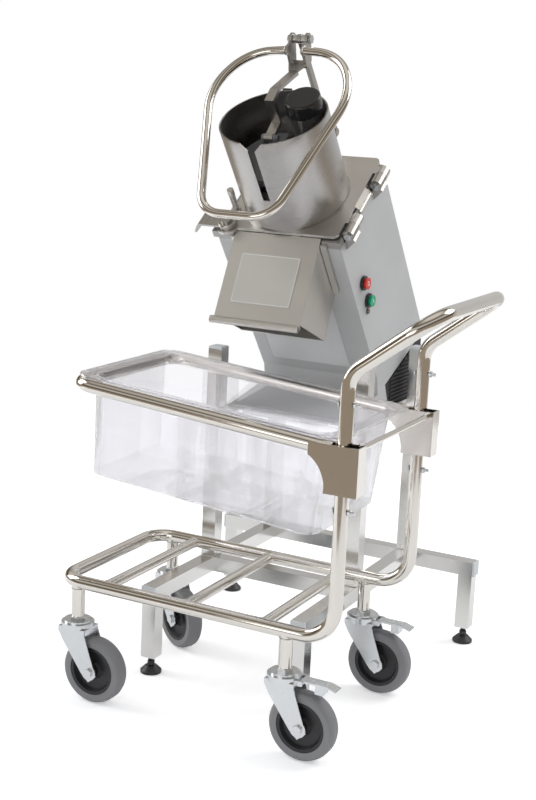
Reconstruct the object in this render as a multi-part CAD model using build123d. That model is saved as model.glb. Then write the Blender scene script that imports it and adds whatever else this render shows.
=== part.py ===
from build123d import *
import math
import os

# Vegetable cutting machine on its square tube stand, with the docked container trolley.
# Millimetres, +Z up, +X along the trolley to its push handle, +Y to the rear of the machine.

# Placement of the whole set about the middle of its footprint
FOOTPRINT_MID_X = 309.25
FOOTPRINT_MID_Y = 371.5

# Trolley
TUBE_R = 12.5
TUBE_WALL = 1.5
TROLLEY_WIDTH = 335.0
BASE_Z = 226.0
BASE_LEFT_X = -39.0
UPRIGHT_X = 523.0
BASE_CORNER_R = 46.0
BASE_RISE_R = 62.0
CROSS_TUBE_R = 10.0
CROSS_TUBE_X = (57.0, 228.0, 385.0)
JOINT_Z = 438.0
SPIGOT_R = 10.93
SPIGOT_DEPTH = 90.0
HANDLE_BEND_Z = 687.0
HANDLE_BAR_X = 667.0
HANDLE_BAR_Z = 797.0
LOCK_PIN_Z = (456.0, 638.0)
CASTER_X = (0.0, 434.0)

# Container holder and container
HOLDER_Z = 557.0
HOLDER_TILT = 4.8
HOLDER_LENGTH = 540.0
HOLDER_CORNER_R = 36.0
BRACKET_HALF = 15.5
BRACKET_SHEET = 2.5
ROD_R = 5.0
PAN_LENGTH = 530.0
PAN_WIDTH = 325.0
PAN_DEPTH = 183.0
PAN_BODY_LENGTH = 486.0
PAN_BODY_WIDTH = 300.0
PAN_WALL = 3.0

# Casters
WHEEL_R = 62.5
WHEEL_W = 32.0
HUB_R = 46.0
TRAIL = 41.0
AXLE_R = 5.0
RUNNING_GAP = 0.05
RACE_Z = 142.0
PEDAL_Z = 143.0
BACK_LEFT_HEADING = -27.0

# Stand
SQUARE = 30.0
SQUARE_WALL = 2.0
RAIL_TOP = 181.5
LEFT_RAIL_X = 57.7
RIGHT_RAIL_X = 382.3
FRONT_LEG_Y = 170.0
POST_FRONT_Y = 395.8
POST_REAR_Y = 675.0
POST_TOP = 620.0
LEFT_LEG_X = -40.0
RIGHT_LEG_X = 526.0
LEG_BOTTOM = 34.0
LEDGE_Z = 492.0

# Machine: the column leans forward about its top middle point
LEAN = 37.5
MACHINE_X = 220.0
MACHINE_Y = 393.0
MACHINE_Z = 935.0
COLUMN_HALF = 130.0
COLUMN_FRONT = -107.5
COLUMN_REAR = 123.0
COLUMN_TOP = -24.0
SHEET = 2.5
TRAY_FRONT_Y = 384.0
TRAY_REAR_Y = 768.0
TRAY_Z = 495.0
TRAY_HALF = 137.0
PANEL_U0 = -102.0
PANEL_U1 = 76.0
PANEL_LOW = -350.0
PANEL_HIGH = -150.0
BUTTON_W = -63.0
BUTTON_H = (-149.6, -196.0)
LAMP_W = -75.0
LAMP_H = -214.0
GLAND_U = -60.0
GLAND_H = -430.0
RIB_COUNT = 13
RIB_PITCH = 8.0

# Outlet chute: how far its front plate reaches past the side walls
LIP_OVERHANG = 8.0

# Feeder
FLANGE_T = 6.0
CYLINDER_R = 102.0
CYLINDER_WALL = 3.0
RIM_FRONT = 205.0
RIM_REAR = 175.0
SLOT_BOTTOM = 76.0
SLOT_W = 14.0
TUBE_U = 51.0
TUBE_W = 31.0
FEED_TUBE_R = 32.0
FEED_TUBE_TOP = 185.0
CAP_R = 34.0
CAP_HEIGHT = 29.0
HINGE_U = 140.0
HINGE_H = -7.6
HINGE_R = 12.0
HINGE_PIN_R = 5.0
LATCH_U = -109.0
LATCH_W = -93.0

# Push linkage, w to the rear and h along the leaning axis
LEVER_W = 172.0
LEVER_H = 25.0
YOKE_W = 163.4
YOKE_H = 245.5
EYE_W = -32.0
EYE_H = 167.0
PLATE_TOP = 107.0
PLATE_T = 12.0
LOOP_R = 8.0
LOOP_WALL = 1.5
LOOP_END_W = 135.0
LOOP_END_H = 240.0
LOOP_TOP_BEND = 92.0
LOOP_SHOULDER_BEND = 116.0
LOOP_LOW_BEND = 52.0

# Drive
SHAFT_R = 11.0
MOTOR_W = 62.0
DRIVE_PULLEY_R = 36.0
MOTOR_PULLEY_R = 15.0
PULLEY_H = -238.0
BELT_W = 20.0
BELT_T = 3.0
CHAMBER_R = 100.0
CHAMBER_FLOOR = -76.0
DISC_R = 94.0
DISC_H = -19.0

PARTS = {}
ORIGIN = Vector(-FOOTPRINT_MID_X, -FOOTPRINT_MID_Y, 0)
MACHINE = Location((MACHINE_X, MACHINE_Y, MACHINE_Z)) * Rotation(LEAN, 0, 0)


def keep(name, shape):
    """Store one finished piece in the frame of the whole set."""
    PARTS[name] = shape.moved(Location(ORIGIN))


def keep_machine(name, shape):
    """Store one piece that is drawn in the leaning frame of the column."""
    keep(name, shape.moved(MACHINE))


def box(x0, x1, y0, y1, z0, z1):
    """Box between two corners."""
    middle = Pos((x0 + x1) / 2, (y0 + y1) / 2, (z0 + z1) / 2)
    return middle * Box(x1 - x0, y1 - y0, z1 - z0)


def rod(radius, start, end):
    """Round bar from one point to another."""
    start, end = Vector(start), Vector(end)
    place = Plane(origin=start, z_dir=end - start)
    return extrude(place * Circle(radius), (end - start).length)


def pipe(points, radii, radius):
    """Solid round bar swept along straight runs that tangent arcs join."""
    path = FilletPolyline(*points, radius=radii)
    start = Plane(origin=path @ 0, z_dir=path % 0)
    return sweep(start * Circle(radius), path=path)


def square_tube(start, end):
    """Square tube along one world axis, open at both ends."""
    start, end = Vector(start), Vector(end)
    along = end - start
    x_dir = (0, 0, 1) if abs(along.Z) < 1 else (1, 0, 0)
    place = Plane(origin=start, x_dir=x_dir, z_dir=along)
    wall = Rectangle(SQUARE, SQUARE) - Rectangle(SQUARE - 2 * SQUARE_WALL, SQUARE - 2 * SQUARE_WALL)
    return extrude(place * wall, along.length)


def side_solid(points, half, offset=0):
    """Outline of points in the side view, as thick as twice half about x = offset."""
    outline = Plane.YZ * make_face(Polyline(*points, close=True))
    return extrude(outline, half, both=True).moved(Location((offset, 0, 0)))


def front_solid(points, y0, y1):
    """Outline of points in the front view, from y0 back to y1."""
    place = Plane(origin=(0, y1, 0), x_dir=(1, 0, 0), z_dir=(0, -1, 0))
    return extrude(place * make_face(Polyline(*points, close=True)), y1 - y0)


def to_machine(y, z):
    """World side-view point as w and h of the leaning frame."""
    lean = math.radians(LEAN)
    dy, dz = y - MACHINE_Y, z - MACHINE_Z
    return dy * math.cos(lean) + dz * math.sin(lean), -dy * math.sin(lean) + dz * math.cos(lean)


# Stand: welded square tube with four posts that frame the machine's foot
def build_stand():
    half = SQUARE / 2
    rail_z = RAIL_TOP - half
    frame = Part()
    for x in (LEFT_RAIL_X, RIGHT_RAIL_X):
        frame += square_tube((x, FRONT_LEG_Y - half, rail_z), (x, POST_REAR_Y + half, rail_z))
        for y in (POST_FRONT_Y, POST_REAR_Y):
            frame += square_tube((x, y, RAIL_TOP), (x, y, POST_TOP))
            inward = 1 if x == LEFT_RAIL_X else -1
            inner = x + inward * half
            low, high = sorted((inner, inner + inward * 28))
            frame += box(low, high, y - half, y + half, LEDGE_Z, LEDGE_Z + 3)
            low, high = sorted((inner, inner + inward * 3))
            frame += box(low, high, y - half, y + half, LEDGE_Z - 28, LEDGE_Z)
    for y in (POST_FRONT_Y, POST_REAR_Y):
        frame += square_tube((LEFT_RAIL_X + half, y, rail_z), (RIGHT_RAIL_X - half, y, rail_z))
    for rail_x, leg_x, side in ((LEFT_RAIL_X, LEFT_LEG_X, -1), (RIGHT_RAIL_X, RIGHT_LEG_X, 1)):
        inner, outer = rail_x + side * half, leg_x + side * half
        frame += square_tube((inner, POST_REAR_Y, rail_z), (outer, POST_REAR_Y, rail_z))
    keep("stand_frame", frame)

    legs = Part()
    for x, y in stand_leg_places():
        legs += square_tube((x, y, LEG_BOTTOM), (x, y, rail_z - half))
    keep("stand_legs", legs)

    feet = Part()
    for x, y in stand_leg_places():
        foot = Pos(x, y, 0) * Cylinder(21, 5, align=(Align.CENTER, Align.CENTER, Align.MIN))
        foot += Pos(x, y, 5) * Cone(21, 12, 9, align=(Align.CENTER, Align.CENTER, Align.MIN))
        foot += Pos(x, y, 14) * Cylinder(5, 20, align=(Align.CENTER, Align.CENTER, Align.MIN))
        nut = Pos(x, y, 17) * extrude(RegularPolygon(8, 6), 7)
        plug = box(x - 13, x + 13, y - 13, y + 13, LEG_BOTTOM, LEG_BOTTOM + 18)
        feet += foot + nut + plug
    keep("levelling_feet", feet)

    caps = Part()
    inner = half - SQUARE_WALL
    for x in (LEFT_RAIL_X, RIGHT_RAIL_X):
        for y in (POST_FRONT_Y, POST_REAR_Y):
            cap = box(x - half, x + half, y - half, y + half, POST_TOP, POST_TOP + 5)
            cap = chamfer(cap.edges().group_by(Axis.Z)[-1], 2)
            caps += cap + box(x - inner, x + inner, y - inner, y + inner, POST_TOP - 16, POST_TOP)
        low, high = FRONT_LEG_Y - half - 4, POST_REAR_Y + half
        caps += box(x - half, x + half, low, low + 4, rail_z - half, rail_z + half)
        caps += box(x - half, x + half, high, high + 4, rail_z - half, rail_z + half)
    for x0, x1 in ((LEFT_LEG_X - half - 4, LEFT_LEG_X - half), (RIGHT_LEG_X + half, RIGHT_LEG_X + half + 4)):
        caps += box(x0, x1, POST_REAR_Y - half, POST_REAR_Y + half, rail_z - half, rail_z + half)
    keep("tube_caps", caps)


def stand_leg_places():
    """Middles of the four legs."""
    front = [(x, FRONT_LEG_Y) for x in (LEFT_RAIL_X, RIGHT_RAIL_X)]
    return front + [(x, POST_REAR_Y) for x in (LEFT_LEG_X, RIGHT_LEG_X)]


# Machine body: folded sheet column, stainless tray under it, ribbed rear cover
def column_outline(inset):
    """Side outline of the grey column, moved inwards by inset."""
    front, rear = COLUMN_FRONT + inset, COLUMN_REAR - inset
    knee_w, knee_h = to_machine(548, 531)
    lip_w, lip_h = to_machine(TRAY_FRONT_Y + 4 + inset, 509 - inset)
    low_w, low_h = to_machine(TRAY_FRONT_Y + 4 + inset, 506)
    heel_w, heel_h = to_machine(600, 506)
    return [
        (front, COLUMN_TOP),
        (front, knee_h + 40),
        (knee_w + inset, knee_h + 8 - inset),
        (lip_w, lip_h),
        (low_w, low_h),
        (heel_w, heel_h),
        (-85 + inset, -416 + inset),
        (rear, -464 + inset),
        (rear, COLUMN_TOP),
    ]


def build_column():
    shell = side_solid(column_outline(0), COLUMN_HALF)
    shell -= side_solid(column_outline(SHEET), COLUMN_HALF - SHEET)
    shell -= box(-COLUMN_HALF + 4, COLUMN_HALF - 4, COLUMN_FRONT + 4, COLUMN_REAR - 4, -60, 0)
    # The outlet window and the recess that takes the front panel
    shell -= box(-86, 86, COLUMN_FRONT - 5, COLUMN_FRONT + 30, -146, COLUMN_TOP + 1)
    shell -= box(PANEL_U0, PANEL_U1, COLUMN_FRONT - 1, COLUMN_FRONT + 10, PANEL_LOW, PANEL_HIGH)
    for h in (BUTTON_H[0], BUTTON_H[1]):
        shell -= rod(11.2, (COLUMN_HALF - 10, BUTTON_W, h), (COLUMN_HALF + 5, BUTTON_W, h))
    shell -= rod(4.2, (COLUMN_HALF - 10, LAMP_W, LAMP_H), (COLUMN_HALF + 5, LAMP_W, LAMP_H))
    shell -= rod(9.2, (GLAND_U, COLUMN_REAR - 10, GLAND_H), (GLAND_U, COLUMN_REAR + 5, GLAND_H))
    keep_machine("column_shell", shell)

    gap = 0.6
    low, high = PANEL_LOW + gap, PANEL_HIGH - gap
    panel = box(PANEL_U0 + gap, PANEL_U1 - gap, COLUMN_FRONT, COLUMN_FRONT + SHEET, low, high)
    for u in (PANEL_U0 + 1, PANEL_U1 - 13):
        back = COLUMN_FRONT + SHEET
        panel += box(u, u + 12, back, back + 8, low, high)
    keep_machine("front_panel", panel)

    tray = box(-TRAY_HALF, TRAY_HALF, TRAY_FRONT_Y, TRAY_REAR_Y, TRAY_Z, TRAY_Z + 11)
    tray -= box(-TRAY_HALF + 2, TRAY_HALF - 2, TRAY_FRONT_Y + 2, TRAY_REAR_Y - 2, TRAY_Z - 1, TRAY_Z + 9)
    for u in (-TRAY_HALF + 16, TRAY_HALF - 42):
        tray -= box(u, u + 26, TRAY_FRONT_Y - 1, TRAY_FRONT_Y + 3, TRAY_Z + 2, TRAY_Z + 7)
    for side in (-1, 1):
        low, high = sorted((side * (TRAY_HALF - 3), side * (TRAY_HALF + 1)))
        tray -= box(low, high, TRAY_REAR_Y - 72, TRAY_REAR_Y - 40, TRAY_Z + 2, TRAY_Z + 7)
    tray = tray.moved(Location((MACHINE_X, 0, 0)))
    tray -= box(LEFT_RAIL_X - 20, LEFT_RAIL_X + 45, POST_FRONT_Y - 17, POST_FRONT_Y + 17, 480, 498)
    keep("base_tray", tray)

    # Black ribbed cover over the motor end
    core = [(603, 506.5), (764, 506.5), (770, 560), (769, 636), (733, 619.5), (584, 550.5)]
    cover = side_solid(core, COLUMN_HALF - 1, MACHINE_X)
    for i in range(RIB_COUNT):
        z = 511 + RIB_PITCH * i
        front = max(606, 583 + (z + RIB_PITCH * 0.45 - 553) * 2.19)
        left, right = MACHINE_X - COLUMN_HALF - 2, MACHINE_X + COLUMN_HALF + 2
        cover += box(left, right, front, 774, z, z + RIB_PITCH * 0.45)
    cover -= box(MACHINE_X - 120, MACHINE_X + 120, 640, 755, 500, 590)
    keep("rear_cover", cover)

    start = (GLAND_U, COLUMN_REAR - SHEET, GLAND_H)
    end = (GLAND_U, COLUMN_REAR + 14, GLAND_H)
    gland = rod(9, start, end)
    gland += rod(13, (GLAND_U, COLUMN_REAR, GLAND_H), (GLAND_U, COLUMN_REAR + 5, GLAND_H))
    gland -= rod(4.5, start, end)
    keep_machine("cable_gland", gland)


# Cutting chamber, outlet chute and its rolled front plate
def build_chamber():
    side = COLUMN_HALF - 4.5
    outline = [
        (COLUMN_FRONT + 3, -9), (COLUMN_REAR - 4.5, -9), (COLUMN_REAR - 4.5, -96),
        (20, -96), (COLUMN_FRONT + 3, -146),
    ]
    block = side_solid(outline, side)
    block += box(-COLUMN_HALF, COLUMN_HALF, COLUMN_FRONT, COLUMN_REAR, COLUMN_TOP, -9)
    block -= Pos(0, 0, (CHAMBER_FLOOR - 8) / 2) * Cylinder(CHAMBER_R, 8 - CHAMBER_FLOOR + 1)
    exit_outline = [(-20, -8), (-20, CHAMBER_FLOOR), (COLUMN_FRONT - 1, -140), (COLUMN_FRONT - 1, -8)]
    block -= side_solid(exit_outline, 84)
    block -= Pos(0, 0, -90) * Cylinder(30, 60)
    # Room for the bearing flange, the chute's top edge and the hinge knuckles
    block -= Pos(0, 0, -126) * Cylinder(46, 60)
    block -= side_solid([(-86, -8), (-86, -36), (COLUMN_FRONT - 1, -46), (COLUMN_FRONT - 1, -8)], 93)
    block -= box(127, COLUMN_HALF + 1, -90, 110, COLUMN_TOP - 1, -8)
    # Ear that the latch arm hooks under
    block += box(-COLUMN_HALF - 12, -COLUMN_HALF + 3, COLUMN_FRONT + 2, COLUMN_FRONT + 34, COLUMN_TOP, -9)
    keep_machine("cutting_chamber", block)

    wall = 2.0
    half = 90.0
    back = COLUMN_FRONT - 0.2
    side_outline = [(back, -13), (-245, -84), (-249, -90), (-190, -189), (back, -142)]
    inner_outline = [(back + 1, -14), (-246, -84), (-262, -92), (-191, -186.5), (back + 1, -139.5)]
    chute = side_solid(side_outline, half) - side_solid(inner_outline, half - wall)
    for s in (-1, 1):
        # Ears that carry the chute on the column face
        low, high = sorted((s * (half - 1), s * (half + 10)))
        chute += box(low, high, back - 2, back, -138, -14)
    chute += box(half + 1, half + 13, back - 6, back - 1, -128, -14)
    chute += rod(6, (half + 7, back - 6, -128), (half + 7, back - 1, -128))
    keep_machine("outlet_chute", chute)

    slope = math.degrees(math.atan2(245 - 92.5, 84 - 5))
    foot = -math.hypot(245 - 92.5, 84 - 5) - LIP_OVERHANG
    plate = box(-half - 0.5, half + 0.5, 0, 2, foot, 0)
    lip = rod(7, (-half - 4, -3.5, foot), (half + 2, -3.5, foot))
    lip -= rod(5, (-half - 5, -3.5, foot), (half + 3, -3.5, foot))
    lip -= box(-half - 6, half + 4, -2.5, 8, foot - 14, foot)
    plate += lip
    place = Location((0, -101, -7.1)) * Rotation(-slope, 0, 0)
    keep_machine("chute_front_plate", plate.moved(place))


# Hinge between the feeder and the column
def build_hinge():
    brackets = Part()
    for w0, w1 in ((-87, -60), (58, 85)):
        knuckle = rod(HINGE_R, (HINGE_U, w0, HINGE_H), (HINGE_U, w1, HINGE_H))
        face = COLUMN_HALF + 0.2
        outline = [(face, -12), (HINGE_U + 8, -14), (HINGE_U + 12, -20), (face, -42)]
        brackets += knuckle + front_solid(outline, w0, w1)
        brackets -= box(HINGE_U + 2, HINGE_U + 22, w0 + 5, w1 - 5, -60, HINGE_H - 12)
    brackets -= rod(HINGE_PIN_R, (HINGE_U, -100, HINGE_H), (HINGE_U, 100, HINGE_H))
    keep_machine("hinge_brackets", brackets)

    pins = Part()
    for w0, w1 in ((-87, -35), (58, 106)):
        pins += rod(HINGE_PIN_R, (HINGE_U, w0, HINGE_H), (HINGE_U, w1, HINGE_H))
        head = Plane(origin=(HINGE_U, w0, HINGE_H), z_dir=(0, -1, 0)) * RegularPolygon(8, 6)
        pins += extrude(head, 5)
    keep_machine("hinge_pins", pins)


# Feeder: flange plate, slotted cylinder with a slanted rim, small tube, lever bracket
def build_feeder():
    flange = box(-118, 125, -100, 131, -FLANGE_T, 0)
    flange = fillet(flange.edges().filter_by(Axis.Z), 12)
    flange += Pos(LATCH_U, LATCH_W, -FLANGE_T / 2) * Cylinder(24, FLANGE_T)
    for w0, w1 in ((-59.4, -35), (85.6, 106)):
        flange += box(118, HINGE_U, w0, w1, -FLANGE_T, 0)
        flange += rod(HINGE_R, (HINGE_U, w0, HINGE_H), (HINGE_U, w1, HINGE_H))
    skirt = front_solid([(122, 0), (126, 0), (142, -11), (139, -14), (122, -3)], -14, 42)
    flange += skirt
    flange -= Pos(0, 0, -3) * Cylinder(CYLINDER_R - CYLINDER_WALL - 3, 20)
    flange -= rod(HINGE_PIN_R + RUNNING_GAP, (HINGE_U, -61, HINGE_H), (HINGE_U, 110, HINGE_H))
    flange -= Pos(LATCH_U, LATCH_W, -FLANGE_T / 2) * Cylinder(6.3, 20)
    post_u, post_w = -104, -58
    flange += rod(5, (post_u, post_w, 0), (post_u, post_w, 52))
    flange += rod(6.5, (post_u, post_w, 44), (post_u, post_w, 58))
    flange += Pos(post_u, post_w, 0) * extrude(RegularPolygon(10, 6), 12)
    keep_machine("feeder_flange", flange)

    tall = RIM_FRONT + 20
    outer = Cylinder(CYLINDER_R, tall, align=(Align.CENTER, Align.CENTER, Align.MIN))
    outer += Cylinder(CYLINDER_R + 2.5, 3, align=(Align.CENTER, Align.CENTER, Align.MIN))
    bore = Cylinder(CYLINDER_R - CYLINDER_WALL, 3 * tall)
    cylinder = outer - bore
    reach = CYLINDER_R + 10
    slant = (RIM_FRONT - RIM_REAR) / (2 * CYLINDER_R)
    above = [
        (-reach, RIM_FRONT + slant * 10), (reach, RIM_REAR - slant * 10),
        (reach, tall + 10), (-reach, tall + 10),
    ]
    cylinder -= side_solid(above, reach)
    cylinder -= box(-SLOT_W / 2, SLOT_W / 2, -reach, 0, SLOT_BOTTOM, tall + 10)
    mouth = 15
    mouth_top = RIM_FRONT + 4
    funnel = [
        (-SLOT_W / 2, RIM_FRONT - mouth), (SLOT_W / 2, RIM_FRONT - mouth),
        (SLOT_W / 2 + mouth + 4, mouth_top), (-SLOT_W / 2 - mouth - 4, mouth_top),
    ]
    cylinder -= front_solid(funnel, -reach, 0)
    keep_machine("feed_cylinder", cylinder)

    tube = rod(FEED_TUBE_R, (TUBE_U, TUBE_W, 0.5), (TUBE_U, TUBE_W, FEED_TUBE_TOP))
    tube += front_solid([(-4, 0.5), (TUBE_U, 0.5), (TUBE_U, 150), (-4, 120)], TUBE_W - 1, TUBE_W + 1)
    tube += box(TUBE_U + 20, TUBE_U + 42, TUBE_W + 14, TUBE_W + 34, 60, 80) & (
        Cylinder(CYLINDER_R - CYLINDER_WALL, 400))
    tube -= rod(FEED_TUBE_R - 2, (TUBE_U, TUBE_W, -1), (TUBE_U, TUBE_W, FEED_TUBE_TOP + 1))
    keep_machine("feed_tube", tube)

    bracket = Part()
    for side in (-1, 1):
        outline = [
            (108, 0.2), (125, 0.2), (LEVER_W + 10, LEVER_H - 12), (LEVER_W + 12, LEVER_H + 6),
            (LEVER_W - 6, LEVER_H + 14), (118, 26), (108, 20),
        ]
        bracket += side_solid(outline, 2.5, side * 14)
    bracket += box(-12, 12, 112, 118, 0.2, 20)
    bracket -= rod(5, (-30, LEVER_W, LEVER_H), (30, LEVER_W, LEVER_H))
    bracket += rod(5, (-21, LEVER_W, LEVER_H), (21, LEVER_W, LEVER_H))
    for side in (-1, 1):
        nut = Plane(origin=(side * 16.5, LEVER_W, LEVER_H), z_dir=(side, 0, 0)) * RegularPolygon(8, 6)
        bracket += extrude(nut, 5)
    keep_machine("lever_bracket", bracket)

    block = box(-34, -16, CYLINDER_R - 6, CYLINDER_R + 11, 150, 170)
    block = block - Cylinder(CYLINDER_R + 0.02, 400)
    keep_machine("rubber_stop", block)


# Latch: a hub on the flange with a bent arm that turns over the column's ear
def build_latch():
    hub = rod(19, (LATCH_U, LATCH_W, 0.4), (LATCH_U, LATCH_W, 10))
    hub = chamfer(hub.edges().group_by(Axis.Z)[-1], 2)
    hub += rod(11, (LATCH_U, LATCH_W, 10), (LATCH_U, LATCH_W, 15))
    hub += rod(6.2, (LATCH_U, LATCH_W, -8.4), (LATCH_U, LATCH_W, 0.4))
    outline = [
        (LATCH_U - 10, 1), (-166, 1), (-172, -6), (-180, -20),
        (-176, -22), (-164, -9), (-160, -3), (LATCH_U - 10, -3),
    ]
    arm = front_solid(outline, -20, 20).moved(Location((0, LATCH_W + 4, 8)))
    arm -= Pos(LATCH_U, LATCH_W, 0) * Cylinder(10, 60)
    keep_machine("latch_arm", hub + arm)


# Push linkage: lever, yoke with its cranked bar, loop handle and half-moon plate
def build_linkage():
    outline = [
        (LEVER_W - 7, LEVER_H), (LEVER_W + 7, LEVER_H), (YOKE_W + 6, YOKE_H), (YOKE_W - 6, YOKE_H),
    ]
    lever = side_solid(outline, 4)
    lever += rod(9, (-4, YOKE_W, YOKE_H), (4, YOKE_W, YOKE_H))
    lever += rod(10, (-10, LEVER_W, LEVER_H), (10, LEVER_W, LEVER_H))
    lever -= rod(5 + RUNNING_GAP, (-30, LEVER_W, LEVER_H), (30, LEVER_W, LEVER_H))
    lever -= rod(5, (-30, YOKE_W, YOKE_H), (30, YOKE_W, YOKE_H))
    keep_machine("lever_bar", lever)

    bolt = rod(5, (-19, YOKE_W, YOKE_H), (19, YOKE_W, YOKE_H))
    for side in (-1, 1):
        head = Plane(origin=(side * 19, YOKE_W, YOKE_H), z_dir=(side, 0, 0)) * RegularPolygon(8.5, 6)
        bolt += extrude(head, 5)
        low, high = sorted((side * 4, side * 13))
        start, end = (low, YOKE_W, YOKE_H), (high, YOKE_W, YOKE_H)
        bolt += rod(8, start, end) - rod(5, start, end)
    keep_machine("yoke_bolt", bolt)

    yoke = Part()
    for side in (-1, 1):
        outline = [
            (YOKE_W - 10, YOKE_H + 3), (YOKE_W + 10, YOKE_H + 3),
            (YOKE_W - 12, YOKE_H - 40), (YOKE_W - 34, YOKE_H - 36),
        ]
        cheek = side_solid(outline, 2.5, side * 16)
        cheek += rod(10, (side * 16 - 2.5, YOKE_W, YOKE_H + 2), (side * 16 + 2.5, YOKE_W, YOKE_H + 2))
        # Ear that closes the end of the loop handle
        ear = [
            (YOKE_W - 8, YOKE_H + 3), (LOOP_END_W, LOOP_END_H + LOOP_R),
            (LOOP_END_W - 3, LOOP_END_H - LOOP_R + 1), (YOKE_W - 34, YOKE_H - 36), (YOKE_W - 16, YOKE_H - 20),
        ]
        cheek += side_solid(ear, 2.5, side * 16)
        cheek += rod(LOOP_R, (side * 16 - 2.5, LOOP_END_W, LOOP_END_H), (side * 16 + 2.5, LOOP_END_W, LOOP_END_H))
        yoke += cheek
    bend = [(18.5, YOKE_W - 34), (-18.5, YOKE_W - 34), (-9, YOKE_W - 56), (9, YOKE_W - 56)]
    web = extrude(Plane.XY * make_face(Polyline(*bend, close=True)), 5).moved(Location((0, 0, YOKE_H - 35)))
    web += box(-18.5, 18.5, YOKE_W - 35, YOKE_W - 17, YOKE_H - 40, YOKE_H - 35)
    yoke += web
    crank = [
        (YOKE_W - 54, YOKE_H - 34), (30, 231), (0, 226), (3, 176), (EYE_W + 4, EYE_H + 4),
        (EYE_W - 2, EYE_H - 3), (9, 170), (9, 219), (33, 224), (YOKE_W - 54, YOKE_H - 41),
    ]
    yoke += side_solid(crank, 9)
    yoke += rod(8, (-9, EYE_W, EYE_H), (9, EYE_W, EYE_H))
    yoke -= rod(4 + RUNNING_GAP, (-20, EYE_W, EYE_H), (20, EYE_W, EYE_H))
    yoke -= rod(5 + RUNNING_GAP, (-30, YOKE_W, YOKE_H), (30, YOKE_W, YOKE_H))
    keep_machine("handle_yoke", yoke)

    shoulder_w, shoulder_h = LOOP_END_W - 6, LOOP_END_H - 2
    path = [
        (17, LOOP_END_W, LOOP_END_H), (95, shoulder_w, shoulder_h), (146, 43, 217), (71, -210, 135),
        (-71, -210, 135), (-146, 43, 217), (-95, shoulder_w, shoulder_h), (-17, LOOP_END_W, LOOP_END_H),
    ]
    bends = [LOOP_TOP_BEND, LOOP_SHOULDER_BEND, LOOP_LOW_BEND]
    bends += reversed(bends)
    loop = pipe(path, bends, LOOP_R) - pipe(path, bends, LOOP_R - LOOP_WALL)
    # Ends faced off flush with the cheeks
    loop -= box(-18.5, 18.5, LOOP_END_W - 20, LOOP_END_W + 20, LOOP_END_H - 20, LOOP_END_H + 20)
    keep_machine("handle_loop", loop)

    radius = CYLINDER_R - CYLINDER_WALL - 15
    plate = rod(radius, (0, 0, PLATE_TOP - PLATE_T), (0, 0, PLATE_TOP))
    plate -= box(-14, 120, -66, 120, 0, 300)
    plate -= box(-120, 120, 58, 120, 0, 300)
    plate &= Pos(0, -26, 100) * Cylinder(CYLINDER_R - CYLINDER_WALL - 9, 300)
    plate += box(-14, 8, -56, -20, PLATE_TOP - PLATE_T, PLATE_TOP)
    fork = box(-14, 14, EYE_W - 20, EYE_W + 12, PLATE_TOP - PLATE_T, PLATE_TOP)
    for side in (-1, 1):
        low, high = sorted((side * 9.4, side * 14))
        fork += box(low, high, EYE_W - 7, EYE_W + 7, PLATE_TOP - 4, EYE_H)
        fork += rod(7, (low, EYE_W, EYE_H), (high, EYE_W, EYE_H))
    fork += rod(4, (-14, EYE_W, EYE_H), (14, EYE_W, EYE_H))
    nut = Plane(origin=(14, EYE_W, EYE_H), z_dir=(1, 0, 0)) * RegularPolygon(6.5, 6)
    fork += extrude(nut, 4)
    keep_machine("pusher_plate", plate + fork)

    cap = rod(CAP_R, (TUBE_U, TUBE_W, FEED_TUBE_TOP + 0.3), (TUBE_U, TUBE_W, FEED_TUBE_TOP + CAP_HEIGHT))
    cap = fillet(cap.edges().group_by(Axis.Z)[-1], 5)
    cap += rod(FEED_TUBE_R - 2.3, (TUBE_U, TUBE_W, 4), (TUBE_U, TUBE_W, FEED_TUBE_TOP + 1))
    keep_machine("tube_pusher", cap)


# Controls on the right side of the column
def build_controls():
    bezels = Part()
    for h in BUTTON_H:
        ring = rod(14.5, (COLUMN_HALF, BUTTON_W, h), (COLUMN_HALF + 5, BUTTON_W, h))
        ring += rod(11, (COLUMN_HALF - 24, BUTTON_W, h), (COLUMN_HALF, BUTTON_W, h))
        ring -= rod(9.4, (COLUMN_HALF - 18, BUTTON_W, h), (COLUMN_HALF + 6, BUTTON_W, h))
        bezels += ring
    keep_machine("button_bezels", bezels)
    for name, h in (("stop_button", BUTTON_H[0]), ("start_button", BUTTON_H[1])):
        button = rod(9, (COLUMN_HALF - 12, BUTTON_W, h), (COLUMN_HALF + 9, BUTTON_W, h))
        button += rod(11.5, (COLUMN_HALF + 9, BUTTON_W, h), (COLUMN_HALF + 12, BUTTON_W, h))
        keep_machine(name, button)
    lamp = rod(4, (COLUMN_HALF - 8, LAMP_W, LAMP_H), (COLUMN_HALF, LAMP_W, LAMP_H))
    lamp += rod(5.5, (COLUMN_HALF, LAMP_W, LAMP_H), (COLUMN_HALF + 3, LAMP_W, LAMP_H))
    keep_machine("pilot_lamp", lamp)
    control = box(COLUMN_HALF - 84, COLUMN_HALF - 28, -92, -30, -360, -275)
    keep_machine("control_box", control)


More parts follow.
